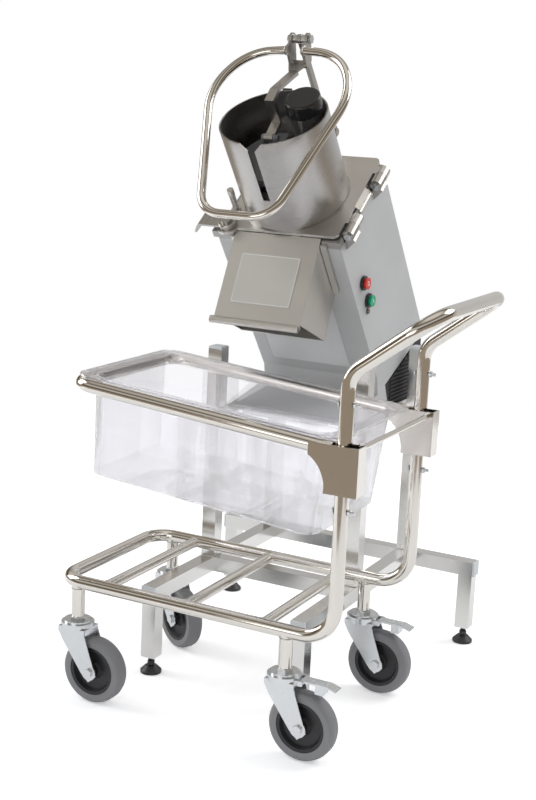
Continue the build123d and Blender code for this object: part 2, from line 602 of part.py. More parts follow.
# Drive: motor, toothed belt, shaft with its bearings, cutting disc and ejector
def build_drive():
    motor = rod(54, (0, MOTOR_W, -428), (0, MOTOR_W, -268))
    motor = fillet(motor.edges().group_by(Axis.Z)[0], 10)
    for i in range(16):
        turn = Rotation(0, 0, 22.5 * i)
        fin = box(52, 57, -2, 2, -412, -290).moved(turn)
        motor += fin.moved(Location((0, MOTOR_W, 0)))
    motor += box(-20, 20, MOTOR_W - 10, MOTOR_W + 58.5, -300, -268)
    motor -= box(-80, 80, COLUMN_REAR - 3.5, COLUMN_REAR + 40, -460, -200)
    motor += rod(7, (0, MOTOR_W, -268), (0, MOTOR_W, -252))
    plate = box(-100, 100, -70, COLUMN_REAR - 3.5, -264, -258)
    plate -= Pos(0, 0, -260) * Cylinder(50, 20)
    plate -= Pos(0, MOTOR_W, -260) * Cylinder(20, 20)
    motor += Pos(0, MOTOR_W, -266) * (Cylinder(40, 4) - Cylinder(20, 10))
    keep_machine("drive_motor", motor + plate)

    gap = 0.3
    teeth = 24
    pulley = rod(DRIVE_PULLEY_R, (0, 0, PULLEY_H), (0, 0, PULLEY_H + BELT_W + 2))
    for i in range(teeth):
        notch = box(DRIVE_PULLEY_R - 1.6, DRIVE_PULLEY_R + 1, -2, 2, PULLEY_H - 1, PULLEY_H + BELT_W + 3)
        pulley -= notch.moved(Rotation(0, 0, 360 / teeth * i))
    for h in (PULLEY_H - 2, PULLEY_H + BELT_W + 2):
        pulley += rod(DRIVE_PULLEY_R + 3, (0, 0, h), (0, 0, h + 2))
    pulley -= rod(SHAFT_R, (0, 0, PULLEY_H - 5), (0, 0, PULLEY_H + BELT_W + 8))
    keep_machine("drive_pulley", pulley)

    small_teeth = 10
    small = rod(MOTOR_PULLEY_R, (0, MOTOR_W, PULLEY_H), (0, MOTOR_W, PULLEY_H + BELT_W + 2))
    for i in range(small_teeth):
        notch = box(MOTOR_PULLEY_R - 1.6, MOTOR_PULLEY_R + 1, -2, 2, PULLEY_H - 1, PULLEY_H + BELT_W + 3)
        notch = notch.moved(Rotation(0, 0, 360 / small_teeth * i))
        small -= notch.moved(Location((0, MOTOR_W, 0)))
    for h in (PULLEY_H - 2, PULLEY_H + BELT_W + 2):
        small += rod(MOTOR_PULLEY_R + 2.5, (0, MOTOR_W, h), (0, MOTOR_W, h + 2))
    small += rod(6, (0, MOTOR_W, -251), (0, MOTOR_W, PULLEY_H - 2))
    keep_machine("motor_pulley", small)

    belt = belt_band(gap + BELT_T) - belt_band(gap)
    keep_machine("drive_belt", belt)

    shaft = rod(SHAFT_R, (0, 0, -250), (0, 0, -30))
    shaft += rod(8, (0, 0, -30), (0, 0, DISC_H + 3))
    keep_machine("drive_shaft", shaft)

    housing = rod(28, (0, 0, -196), (0, 0, -96.2))
    housing += rod(44, (0, 0, -104), (0, 0, -96.2))
    housing += rod(20, (0, 0, -96.2), (0, 0, CHAMBER_FLOOR - 4))
    housing += rod(16, (0, 0, -90), (0, 0, CHAMBER_FLOOR + 12))
    housing -= rod(SHAFT_R + 1.0, (0, 0, -200), (0, 0, -50))
    for h0, h1 in ((-197, -182), (-122, -107)):
        housing -= rod(22, (0, 0, h0), (0, 0, h1))
    keep_machine("bearing_housing", housing)

    bearings = Part()
    for h0, h1 in ((-197, -182), (-122, -107)):
        ring = rod(21.98, (0, 0, h0), (0, 0, h1)) - rod(SHAFT_R + RUNNING_GAP, (0, 0, h0), (0, 0, h1))
        groove = rod(18.5, (0, 0, h0), (0, 0, h0 + 1.5)) - rod(14.5, (0, 0, h0), (0, 0, h0 + 1.5))
        bearings += ring - groove
    keep_machine("shaft_bearings", bearings)

    disc = rod(DISC_R, (0, 0, DISC_H), (0, 0, DISC_H + 3))
    disc += rod(22, (0, 0, DISC_H - 8), (0, 0, DISC_H + 3))
    disc += rod(13, (0, 0, DISC_H + 3), (0, 0, DISC_H + 9))
    for i in range(3):
        turn = Rotation(0, 0, 120 * i)
        window = box(28, 86, -9, 0, DISC_H - 1, DISC_H + 4)
        blade = side_solid([(-9, DISC_H + 3.4), (-8, DISC_H + 4.4), (2, DISC_H + 3), (2, DISC_H + 1.5)], 29, 57)
        disc -= window.moved(turn)
        disc += blade.moved(turn)
    disc -= rod(8, (0, 0, DISC_H - 10), (0, 0, DISC_H + 3))
    keep_machine("cutting_disc", disc)

    ejector = rod(90, (0, 0, -58), (0, 0, -54)) + rod(24, (0, 0, -58), (0, 0, -30))
    for i in range(4):
        vane = box(20, 88, -2, 2, -54, -34)
        ejector += vane.moved(Rotation(0, 0, 90 * i + 20))
    ejector -= rod(SHAFT_R, (0, 0, -70), (0, 0, -20))
    keep_machine("ejector_plate", ejector)


def belt_band(offset):
    """Solid round both pulleys at the given offset from their rims."""
    big = DRIVE_PULLEY_R + offset
    small = MOTOR_PULLEY_R + offset
    tilt = math.asin((big - small) / MOTOR_W)
    corners = [
        (big * math.cos(tilt), big * math.sin(tilt)),
        (small * math.cos(tilt), MOTOR_W + small * math.sin(tilt)),
    ]
    left = [(-x, y) for x, y in reversed(corners)]
    between = make_face(Polyline(*corners, *left, close=True))
    outline = between + Circle(big) + Pos(0, MOTOR_W) * Circle(small)
    return extrude(Pos(0, 0, PULLEY_H + 1) * outline, BELT_W)


# Trolley: bent tube base with cross tubes, and the upper tube with the push handle
def build_trolley():
    far = TROLLEY_WIDTH
    path = [
        (UPRIGHT_X, 0, JOINT_Z), (UPRIGHT_X, 0, BASE_Z), (BASE_LEFT_X, 0, BASE_Z),
        (BASE_LEFT_X, far, BASE_Z), (UPRIGHT_X, far, BASE_Z), (UPRIGHT_X, far, JOINT_Z),
    ]
    bends = [BASE_RISE_R, BASE_CORNER_R, BASE_CORNER_R, BASE_RISE_R]
    base = pipe(path, bends, TUBE_R)
    for x in CROSS_TUBE_X:
        base += rod(CROSS_TUBE_R, (x, 1, BASE_Z), (x, far - 1, BASE_Z))
    for x in CASTER_X:
        for y in (0, far):
            base += rod(12, (x, y, 160), (x, y, BASE_Z))
    base -= pipe(path, bends, TUBE_R - TUBE_WALL)
    for x in CROSS_TUBE_X:
        base -= rod(CROSS_TUBE_R - TUBE_WALL, (x, 2, BASE_Z), (x, far - 2, BASE_Z))
    keep("trolley_base", base)

    seat = JOINT_Z + 0.02
    path = [
        (UPRIGHT_X, 0, seat), (UPRIGHT_X, 0, HANDLE_BEND_Z), (HANDLE_BAR_X, 0, HANDLE_BAR_Z),
        (HANDLE_BAR_X, far, HANDLE_BAR_Z), (UPRIGHT_X, far, HANDLE_BEND_Z), (UPRIGHT_X, far, seat),
    ]
    bends = [48, 55, 55, 48]
    handle = pipe(path, bends, TUBE_R) - pipe(path, bends, TUBE_R - TUBE_WALL)
    for y in (0, far):
        handle += rod(SPIGOT_R, (UPRIGHT_X, y, JOINT_Z - SPIGOT_DEPTH), (UPRIGHT_X, y, JOINT_Z + 10))
        handle += rod(SPIGOT_R + 0.5, (UPRIGHT_X, y, JOINT_Z + 0.2), (UPRIGHT_X, y, JOINT_Z + 10))
        handle -= rod(SPIGOT_R - 1.5, (UPRIGHT_X, y, JOINT_Z - SPIGOT_DEPTH - 1), (UPRIGHT_X, y, JOINT_Z + 11))
    keep("trolley_handle", handle)

    pins = Part()
    for z in LOCK_PIN_Z:
        for y in (0, far):
            left, right = UPRIGHT_X - TUBE_R, UPRIGHT_X + TUBE_R
            pins += rod(6, (left - 3, y, z), (left - 0.1, y, z))
            pins += rod(3, (right + 0.1, y, z), (right + 12, y, z))
            pins += rod(5.5, (right + 0.1, y, z), (right + 5, y, z))
    keep("lock_pins", pins)


# Container holder: bent tube loop, wrap-round brackets and a tie rod, with the pan in it
def build_holder():
    far = TROLLEY_WIDTH
    tilt = Location((UPRIGHT_X, 0, HOLDER_Z)) * Rotation(0, HOLDER_TILT, 0)
    near_end = -22
    path = [(near_end, 0, 0), (-HOLDER_LENGTH, 0, 0), (-HOLDER_LENGTH, far, 0), (near_end, far, 0)]
    bends = [HOLDER_CORNER_R, HOLDER_CORNER_R]
    loop = pipe(path, bends, TUBE_R) - pipe(path, bends, TUBE_R - TUBE_WALL)
    loop = loop.moved(tilt)

    left, right = UPRIGHT_X - 60, UPRIGHT_X + 32
    low, high = 486, 570
    middle = BRACKET_HALF - BRACKET_SHEET
    holder = loop
    for y in (0, far):
        block = box(left, right, y - BRACKET_HALF, y + BRACKET_HALF, low, high)
        block -= box(left - 1, right - BRACKET_SHEET, y - middle, y + middle, low - 1, high + 1)
        sweep_out = Pos(left - 30, y, low + 8) * Rotation(90, 0, 0) * Cylinder(62, 60)
        block -= sweep_out
        # Weld seams between the loop's tube and the cheeks
        for side in (-1, 1):
            y0, y1 = sorted((y + side * (TUBE_R - 1), y + side * (middle + 1)))
            block += box(left + 10, UPRIGHT_X - 26, y0, y1, 554, 565)
        holder += block
    rod_x, rod_z = UPRIGHT_X + 21, 563
    holder += rod(ROD_R, (rod_x, middle - 1, rod_z), (rod_x, far - middle + 1, rod_z))
    near_face, far_face = BRACKET_HALF, far - BRACKET_HALF
    for y0, y1 in ((near_face, near_face + 7), (far_face - 7, far_face)):
        holder += rod(8, (rod_x, y0, rod_z), (rod_x, y1, rod_z))
    keep("container_holder", holder)

    rim_z = TUBE_R + 0.02
    rim_x = -HOLDER_LENGTH + PAN_LENGTH / 2 - 8
    body = extrude(RectangleRounded(PAN_BODY_LENGTH, PAN_BODY_WIDTH, 42), -PAN_DEPTH, taper=3.2)
    mouth = RectangleRounded(PAN_BODY_LENGTH - 2 * PAN_WALL, PAN_BODY_WIDTH - 2 * PAN_WALL, 39)
    inside = extrude(mouth, -PAN_DEPTH + PAN_WALL, taper=3.2)
    rim = extrude(RectangleRounded(PAN_LENGTH, PAN_WIDTH, 32), PAN_WALL) - extrude(mouth, PAN_WALL)
    pan = rim + (body - inside)
    place = tilt * Location((rim_x, far / 2, rim_z))
    keep("food_container", pan.moved(place))


# Casters: swivel fork, wheel of hub and tyre, and the brake pedal of the right pair
def caster_places():
    """Name, place, heading and whether it carries a brake."""
    far = TROLLEY_WIDTH
    return [
        ("front_left", 0, 0, 0, False),
        ("front_right", CASTER_X[1], 0, 0, True),
        ("back_right", CASTER_X[1], far, 0, True),
        ("back_left", 0, far, BACK_LEFT_HEADING, False),
    ]


def build_casters():
    races = Part()
    for name, x, y, heading, brake in caster_places():
        place = Location((x, y, 0)) * Rotation(0, 0, heading)
        race = rod(31, (0, 0, RACE_Z + 0.4), (0, 0, RACE_Z + 8))
        race += rod(26, (0, 0, RACE_Z + 8), (0, 0, RACE_Z + 12))
        race += Pos(0, 0, RACE_Z + 12) * extrude(RegularPolygon(15, 6), 6)
        race += rod(6, (0, 0, RACE_Z - 14), (0, 0, RACE_Z + 1))
        race = race.moved(Location((x, y, 0)))
        races += race
        keep("caster_fork_" + name, fork_solid(brake).moved(place))
        keep("wheel_hub_" + name, hub_solid().moved(place))
        keep("wheel_tyre_" + name, tyre_solid().moved(place))
        if brake:
            keep("brake_pedal_" + name, pedal_solid().moved(place))
    keep("caster_races", races)


def fork_solid(brake):
    """Pressed fork with its top race plate and axle bolt."""
    inner = WHEEL_W / 2 + 5
    sheet = 2.5
    outline = [
        (-28, RACE_Z), (-28, RACE_Z - 8), (-18, RACE_Z - 26), (TRAIL - 16, 58),
        (TRAIL, 44), (TRAIL + 16, 58), (30, RACE_Z - 10), (30, RACE_Z),
    ]
    fork = Part()
    for y0, y1 in ((-inner - sheet, -inner), (inner, inner + sheet)):
        cheek = front_solid(outline, y0, y1)
        fork += cheek + rod(15, (TRAIL, y0, WHEEL_R), (TRAIL, y1, WHEEL_R))
    fork += box(-28, 30, -inner - sheet, inner + sheet, RACE_Z - 4, RACE_Z)
    fork += rod(30, (0, 0, RACE_Z - 4), (0, 0, RACE_Z))
    if brake:
        for y0, y1 in ((-17, -12.6), (12.6, 17)):
            ear = box(22, 41, y0, y1, RACE_Z - 3, PEDAL_Z + 4.5)
            fork += ear - rod(31.3, (0, 0, RACE_Z), (0, 0, RACE_Z + 20))
        fork += rod(2.5, (36.5, -15, PEDAL_Z), (36.5, 15, PEDAL_Z))
    fork -= rod(6.4, (0, 0, RACE_Z - 20), (0, 0, RACE_Z + 5))
    reach = inner + sheet
    fork += rod(AXLE_R, (TRAIL, -reach, WHEEL_R), (TRAIL, reach, WHEEL_R))
    for side in (-1, 1):
        head = Plane(origin=(TRAIL, side * reach, WHEEL_R), z_dir=(0, side, 0)) * RegularPolygon(9, 6)
        fork += extrude(head, 5)
    return fork


def hub_solid():
    """Dished hub with a boss that turns on the axle."""
    half = WHEEL_W / 2
    profile = [
        (AXLE_R + RUNNING_GAP, -half - 3.5), (14, -half - 3.5), (14, -half + 5), (18, -6), (36, -6),
        (40, -half + 2), (HUB_R, -half + 2), (HUB_R, half - 2), (40, half - 2), (36, 6),
        (18, 6), (14, half - 5), (14, half + 3.5), (AXLE_R + RUNNING_GAP, half + 3.5),
    ]
    return turned(profile)


def tyre_solid():
    """Tyre with a crowned tread, tight on the hub."""
    half = WHEEL_W / 2
    profile = [
        (HUB_R, -half + 1), (WHEEL_R - 6, -half), (WHEEL_R - 2, -half + 3), (WHEEL_R, -half + 9),
        (WHEEL_R, half - 9), (WHEEL_R - 2, half - 3), (WHEEL_R - 6, half), (HUB_R, half - 1),
    ]
    return turned(profile)


def turned(profile):
    """Turn radius and width pairs about the wheel axle."""
    face = make_face(Polyline(*[(r, w, 0) for r, w in profile], close=True))
    solid = revolve(face, Axis.Y)
    return solid.moved(Location((TRAIL, 0, WHEEL_R)))


def pedal_solid():
    """Brake pedal with the block that meets the tread."""
    half = 12.0
    top, thick = PEDAL_Z + 4.5, 3.0
    outline = [
        (36, top), (86, top), (104, top - 5.5), (103, top - 8), (86, top - thick), (36, top - thick),
    ]
    pedal = front_solid(outline, -half, half)
    pedal += rod(4.6, (36.5, -half, PEDAL_Z), (36.5, half, PEDAL_Z))
    pedal -= rod(2.5 + RUNNING_GAP, (36.5, -half - 1, PEDAL_Z), (36.5, half + 1, PEDAL_Z))
    return pedal + box(64, 80, -11, 11, 129, top - 1)


build_stand()
build_column()
build_chamber()
build_hinge()
build_feeder()
build_latch()
build_linkage()
build_controls()
build_drive()
build_trolley()
build_holder()
build_casters()

os.makedirs("parts", exist_ok=True)
for name, shape in PARTS.items():
    export_step(shape, "parts/" + name + ".step")
print(len(PARTS), "pieces")
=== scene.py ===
import math

import bpy
from mathutils import Matrix, Vector


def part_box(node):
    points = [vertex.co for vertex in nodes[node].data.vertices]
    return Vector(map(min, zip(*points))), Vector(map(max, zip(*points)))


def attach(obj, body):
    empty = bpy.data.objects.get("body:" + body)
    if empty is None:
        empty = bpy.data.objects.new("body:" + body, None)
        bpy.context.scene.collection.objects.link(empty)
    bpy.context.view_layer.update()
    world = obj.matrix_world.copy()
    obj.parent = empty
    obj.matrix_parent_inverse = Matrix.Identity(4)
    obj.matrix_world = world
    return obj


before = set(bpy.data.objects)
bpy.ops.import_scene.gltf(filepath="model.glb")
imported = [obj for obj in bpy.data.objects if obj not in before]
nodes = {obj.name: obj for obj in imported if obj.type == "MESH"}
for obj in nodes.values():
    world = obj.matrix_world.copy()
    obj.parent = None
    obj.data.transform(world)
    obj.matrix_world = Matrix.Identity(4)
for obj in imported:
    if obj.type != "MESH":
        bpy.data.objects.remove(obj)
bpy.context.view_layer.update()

# The view of the photograph. A small tele lens stands to the right of the
# machine, a little above the push handle, and looks slightly down; the
# camera was held with a small roll to the left.
AZIMUTH = math.radians(27.1)
ELEVATION = math.radians(12.285)
ROLL = math.radians(2.626)
EYE = Vector((1.10575, -2.3989, 1.1209))
FOCAL_PIXELS = 1390.2
LONG_SIDE_PIXELS = 800

level = math.cos(ELEVATION)
back = Vector((math.sin(AZIMUTH) * level, -math.cos(AZIMUTH) * level, math.sin(ELEVATION)))
level_right = Vector((math.cos(AZIMUTH), math.sin(AZIMUTH), 0))
level_up = back.cross(level_right)
right = math.cos(ROLL) * level_right + math.sin(ROLL) * level_up
up = math.cos(ROLL) * level_up - math.sin(ROLL) * level_right
camera_data = bpy.data.cameras.new("photo_view")
camera_data.sensor_fit = "AUTO"
camera_data.sensor_width = 36.0
camera_data.lens = FOCAL_PIXELS * camera_data.sensor_width / LONG_SIDE_PIXELS
camera = bpy.data.objects.new("photo_view", camera_data)
bpy.context.scene.collection.objects.link(camera)
axes = Matrix((right, up, back)).transposed()
camera.matrix_world = Matrix.Translation(EYE) @ axes.to_4x4()
bpy.context.scene.camera = camera


# The stand is square stainless tube, sawn, welded and brushed along its
# length. The seams are ground flush, so it reads as one pale satin frame
# with a slightly rounded edge along every corner.
def new_group(name, inputs, outputs):
    """Start a shader effect with named sockets."""
    group = bpy.data.node_groups.new(name, "ShaderNodeTree")
    for label, kind, value in inputs:
        socket = group.interface.new_socket(label, in_out="INPUT", socket_type=kind)
        if value is not None:
            socket.default_value = value
    for label, kind in outputs:
        group.interface.new_socket(label, in_out="OUTPUT", socket_type=kind)
    start = group.nodes.new("NodeGroupInput")
    end = group.nodes.new("NodeGroupOutput")
    return group, start, end


def math_node(tree, operation, a, b=None, clamp=False):
    """One sum on values or sockets."""
    node = tree.nodes.new("ShaderNodeMath")
    node.operation = operation
    node.use_clamp = clamp
    for slot, value in ((0, a), (1, b)):
        if value is None:
            continue
        if isinstance(value, (int, float)):
            node.inputs[slot].default_value = value
        else:
            tree.links.new(value, node.inputs[slot])
    return node.outputs[0]


# Brushed grain: noise drawn out along one direction, in two sizes
grain_group, g_in, g_out = new_group(
    "brushed_grain",
    [
        ("Turn", "NodeSocketVector", (0, 0, 0)),
        ("Stretch", "NodeSocketVector", (1, 40, 40)),
        ("Fineness", "NodeSocketFloat", 60.0),
    ],
    [("Grain", "NodeSocketFloat"), ("Patches", "NodeSocketFloat")],
)
place = grain_group.nodes.new("ShaderNodeTexCoord")
turn = grain_group.nodes.new("ShaderNodeVectorRotate")
turn.rotation_type = "EULER_XYZ"
grain_group.links.new(place.outputs["Object"], turn.inputs["Vector"])
grain_group.links.new(g_in.outputs["Turn"], turn.inputs["Rotation"])
draw = grain_group.nodes.new("ShaderNodeVectorMath")
draw.operation = "MULTIPLY"
grain_group.links.new(turn.outputs[0], draw.inputs[0])
grain_group.links.new(g_in.outputs["Stretch"], draw.inputs[1])
fine = grain_group.nodes.new("ShaderNodeTexNoise")
fine.inputs["Detail"].default_value = 4.0
fine.inputs["Roughness"].default_value = 0.65
grain_group.links.new(draw.outputs[0], fine.inputs["Vector"])
grain_group.links.new(g_in.outputs["Fineness"], fine.inputs["Scale"])
broad = grain_group.nodes.new("ShaderNodeTexNoise")
broad.inputs["Scale"].default_value = 7.0
broad.inputs["Detail"].default_value = 2.0
grain_group.links.new(turn.outputs[0], broad.inputs["Vector"])
grain_group.links.new(fine.outputs["Fac"], g_out.inputs["Grain"])
grain_group.links.new(broad.outputs["Fac"], g_out.inputs["Patches"])

# Rounded edges: a mask that is bright where a bevelled normal leaves the face
EDGE_SOFTNESS = 0.0016
edge_group, e_in, e_out = new_group(
    "edge_mask", [("Strength", "NodeSocketFloat", 6.0)], [("Edge", "NodeSocketFloat")]
)
soft = edge_group.nodes.new("ShaderNodeBevel")
soft.samples = 4
soft.inputs["Radius"].default_value = EDGE_SOFTNESS
flat = edge_group.nodes.new("ShaderNodeNewGeometry")
meet = edge_group.nodes.new("ShaderNodeVectorMath")
meet.operation = "DOT_PRODUCT"
edge_group.links.new(soft.outputs[0], meet.inputs[0])
edge_group.links.new(flat.outputs["Normal"], meet.inputs[1])
away = math_node(edge_group, "SUBTRACT", 1.0, meet.outputs["Value"])
mask = math_node(edge_group, "MULTIPLY", away, e_in.outputs["Strength"], clamp=True)
edge_group.links.new(mask, e_out.inputs["Edge"])


def use_group(material, group, **values):
    """Place a shared effect in a material with its own values."""
    node = material.node_tree.nodes.new("ShaderNodeGroup")
    node.node_tree = group
    for label, value in values.items():
        node.inputs[label].default_value = value
    return node


def blend_colours(material, mask, low, high):
    """Colour that goes from low to high with a mask."""
    node = material.node_tree.nodes.new("ShaderNodeMix")
    node.data_type = "RGBA"
    node.inputs["A"].default_value = (*low, 1)
    node.inputs["B"].default_value = (*high, 1)
    material.node_tree.links.new(mask, node.inputs["Factor"])
    return node.outputs["Result"]


def spread(material, mask, low, high):
    """Value that goes from low to high with a noise mask."""
    node = material.node_tree.nodes.new("ShaderNodeMapRange")
    node.inputs["From Min"].default_value = 0.3
    node.inputs["From Max"].default_value = 0.7
    node.inputs["To Min"].default_value = low
    node.inputs["To Max"].default_value = high
    material.node_tree.links.new(mask, node.inputs["Value"])
    return node.outputs["Result"]


def start_material(name):
    """New material with its surface shader."""
    material = bpy.data.materials.new(name)
    material.use_nodes = True
    return material, material.node_tree.nodes["Principled BSDF"]


GRAIN_SHARE = 0.6
EDGE_POLISH = 0.08
METAL_RELIEF = 0.0004


def brushed_metal(name, colour, dark, rough, turn, stretch, fineness, depth):
    """Ground or brushed metal with grain, soft patches and bright edges."""
    material, shader = start_material(name)
    links = material.node_tree.links
    grain = use_group(material, grain_group, Turn=turn, Stretch=stretch, Fineness=fineness)
    edge = use_group(material, edge_group, Strength=5.0)
    tree = material.node_tree
    lines = math_node(tree, "MULTIPLY", grain.outputs["Grain"], GRAIN_SHARE)
    patches = math_node(tree, "MULTIPLY", grain.outputs["Patches"], 1 - GRAIN_SHARE)
    shade = math_node(tree, "ADD", lines, patches)
    tone = blend_colours(material, spread(material, shade, 0.0, 1.0), dark, colour)
    links.new(tone, shader.inputs["Base Color"])
    rough_value = spread(material, grain.outputs["Grain"], rough * 0.8, rough * 1.25)
    polish = math_node(tree, "MULTIPLY", edge.outputs["Edge"], EDGE_POLISH)
    eased = math_node(tree, "SUBTRACT", rough_value, polish, clamp=True)
    links.new(eased, shader.inputs["Roughness"])
    shader.inputs["Metallic"].default_value = 1.0
    bump = material.node_tree.nodes.new("ShaderNodeBump")
    bump.inputs["Strength"].default_value = depth
    bump.inputs["Distance"].default_value = METAL_RELIEF
    links.new(grain.outputs["Grain"], bump.inputs["Height"])
    links.new(bump.outputs["Normal"], shader.inputs["Normal"])
    return material


def dress(material, *names, angle=32):
    """Give CAD nodes their finish and a clean shade over their curves."""
    for name in names:
        piece = nodes[name]
        piece.data.materials.clear()
        piece.data.materials.append(material)
        piece.data.shade_smooth()
        piece.data.set_sharp_from_angle(angle=math.radians(angle))


NO_TURN = (0, 0, 0)
EVEN = (1, 1, 1)
stand_steel = brushed_metal(
    "stand_satin_steel", (0.74, 0.735, 0.72), (0.68, 0.67, 0.655), 0.20, NO_TURN, EVEN, 420.0, 0.02,
)
dress(stand_steel, "stand_frame", "stand_legs", "base_tray")


# A bead of weld runs round each post where it stands on its rail. It has the
# ripples that a welder leaves, and was only brushed clean afterwards.
def mesh_piece(name, parts, material, body, angle=40):
    """One object from lists of points and faces, riding on a body."""
    points, faces = [], []
    for part_points, part_faces in parts:
        start = len(points)
        points += [tuple(p) for p in part_points]
        faces += [[start + i for i in face] for face in part_faces]
    data = bpy.data.meshes.new(name)
    data.from_pydata(points, [], faces)
    data.materials.append(material)
    data.shade_smooth()
    data.set_sharp_from_angle(angle=math.radians(angle))
    piece = bpy.data.objects.new(name, data)
    bpy.context.scene.collection.objects.link(piece)
    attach(piece, body)
    return piece


def bead(path, thick, around=8, ripple=0.0):
    """Closed round bead along a loop of points, with weld ripples."""
    points, faces = [], []
    count = len(path)
    middle = sum(path, Vector()) / count
    for i, here in enumerate(path):
        along = (path[(i + 1) % count] - path[i - 1]).normalized()
        out = here - middle
        out = (out - along * out.dot(along)).normalized()
        side = along.cross(out)
        radius = thick * (1 + ripple * math.sin(i * 2.4))
        for j in range(around):
            turn = 2 * math.pi * j / around
            points.append(here + radius * (math.cos(turn) * out + math.sin(turn) * side))
    for i in range(count):
        for j in range(around):
            k = (j + 1) % around
            n = (i + 1) % count
            faces.append([i * around + j, n * around + j, n * around + k, i * around + k])
    return points, faces


def ring_path(centre, axis, radius, steps=48):
    """Loop of points on a circle about an axis."""
    axis = Vector(axis).normalized()
    first = axis.orthogonal().normalized()
    second = axis.cross(first)
    turns = [2 * math.pi * i / steps for i in range(steps)]
    return [Vector(centre) + radius * (math.cos(t) * first + math.sin(t) * second) for t in turns]


def square_path(centre, half, corner, steps=5):
    """Level loop of points on a square with rounded corners."""
    return rounded_path(centre, half, half, corner, steps)


def rounded_path(centre, half_x, half_y, corner, steps=6):
    """Level loop of points on a rectangle with rounded corners."""
    points = []
    for index, (sx, sy) in enumerate(((1, 1), (-1, 1), (-1, -1), (1, -1))):
        for i in range(steps + 1):
            turn = math.pi / 2 * (index + i / steps)
            x = sx * (half_x - corner) + corner * math.cos(turn)
            y = sy * (half_y - corner) + corner * math.sin(turn)
            points.append(Vector(centre) + Vector((x, y, 0)))
    return points


MIDDLE_X = 0.30925
MIDDLE_Y = 0.3715
RAIL_TOP = 0.1815
POST_HALF = 0.0152
POST_CORNER = 0.003
POST_X = (0.0577 - MIDDLE_X, 0.3823 - MIDDLE_X)
POST_Y = (0.3958 - MIDDLE_Y, 0.675 - MIDDLE_Y)
weld_steel = brushed_metal(
    "weld_bead_steel", (0.60, 0.59, 0.57), (0.42, 0.41, 0.39), 0.34, NO_TURN, EVEN, 500.0, 0.2,
)
welds = []
for x, y in [(x, y) for x in POST_X for y in POST_Y]:
    foot = square_path((x, y, RAIL_TOP + 0.0004), POST_HALF, POST_CORNER)
    welds.append(bead(foot, 0.0012, ripple=0.2))
mesh_piece("post_welds", welds, weld_steel, "machine")

# Caps of grey polyethylene are pressed into every open tube end. They are
# slightly chamfered on top and keep the fine sparkle of the mould.
SKIN_RELIEF = 0.0003


def moulded_plastic(name, colour, rough, grain_size, depth, worn=None):
    """Moulded plastic or rubber with a fine eroded skin and rubbed edges."""
    material, shader = start_material(name)
    links = material.node_tree.links
    skin = use_group(material, grain_group, Turn=NO_TURN, Stretch=EVEN, Fineness=grain_size)
    edge = use_group(material, edge_group, Strength=4.0)
    light = tuple(min(1.0, c * 1.18 + 0.006) for c in colour)
    tone = blend_colours(material, spread(material, skin.outputs["Patches"], 0.0, 1.0), colour, light)
    rub = material.node_tree.nodes.new("ShaderNodeMix")
    rub.data_type = "RGBA"
    rubbed = worn or tuple(min(1.0, c * 1.5 + 0.02) for c in colour)
    rub.inputs["B"].default_value = (*rubbed, 1)
    links.new(tone, rub.inputs["A"])
    links.new(math_node(material.node_tree, "MULTIPLY", edge.outputs["Edge"], 0.5), rub.inputs["Factor"])
    links.new(rub.outputs["Result"], shader.inputs["Base Color"])
    rough_value = spread(material, skin.outputs["Grain"], rough * 0.85, min(1.0, rough * 1.15))
    links.new(rough_value, shader.inputs["Roughness"])
    bump = material.node_tree.nodes.new("ShaderNodeBump")
    bump.inputs["Strength"].default_value = depth
    bump.inputs["Distance"].default_value = SKIN_RELIEF
    links.new(skin.outputs["Grain"], bump.inputs["Height"])
    links.new(bump.outputs["Normal"], shader.inputs["Normal"])
    return material


grey_cap = moulded_plastic("grey_cap_plastic", (0.58, 0.60, 0.61), 0.5, 900, 0.12)
dress(grey_cap, "tube_caps")

# The levelling feet are black nylon with a turned-out foot, a lock nut
# and a threaded stem that screws into a plug in the leg.
black_nylon = moulded_plastic("black_nylon", (0.022, 0.022, 0.024), 0.42, 1200, 0.15)
dress(black_nylon, "levelling_feet")
FOOT_PLACES = ((POST_X[0], -0.2015), (POST_X[1], -0.2015), (-0.34925, 0.3035), (0.21675, 0.3035))
STEM_R = 0.0050
THREAD_START = 0.0255
THREAD_PITCH = 0.0016
threads = []
for x, y in FOOT_PLACES:
    for turn in range(5):
        ring = ring_path((x, y, THREAD_START + THREAD_PITCH * turn), (0, 0, 1), STEM_R, 28)
        threads.append(bead(ring, 0.0006, around=6))
mesh_piece("foot_stem_threads", threads, black_nylon, "machine")

# The column is folded sheet with a fine grey powder coat. The coat has worn
# a little paler along the folds.
column_paint, shader = start_material("grey_powder_coat")
links = column_paint.node_tree.links
skin = use_group(column_paint, grain_group, Turn=NO_TURN, Stretch=EVEN, Fineness=1500.0)
edge = use_group(column_paint, edge_group, Strength=3.0)
clouds = spread(column_paint, skin.outputs["Patches"], 0.0, 1.0)
tone = blend_colours(column_paint, clouds, (0.50, 0.505, 0.505), (0.54, 0.545, 0.545))
rub = column_paint.node_tree.nodes.new("ShaderNodeMix")
rub.data_type = "RGBA"
rub.inputs["B"].default_value = (0.68, 0.68, 0.67, 1)
links.new(tone, rub.inputs["A"])
worn_edge = math_node(column_paint.node_tree, "MULTIPLY", edge.outputs["Edge"], 0.6)
links.new(worn_edge, rub.inputs["Factor"])
links.new(rub.outputs["Result"], shader.inputs["Base Color"])
links.new(spread(column_paint, skin.outputs["Grain"], 0.36, 0.50), shader.inputs["Roughness"])
shader.inputs["Metallic"].default_value = 0.15
bump = column_paint.node_tree.nodes.new("ShaderNodeBump")
bump.inputs["Strength"].default_value = 0.12
bump.inputs["Distance"].default_value = SKIN_RELIEF
links.new(skin.outputs["Grain"], bump.inputs["Height"])
links.new(bump.outputs["Normal"], shader.inputs["Normal"])
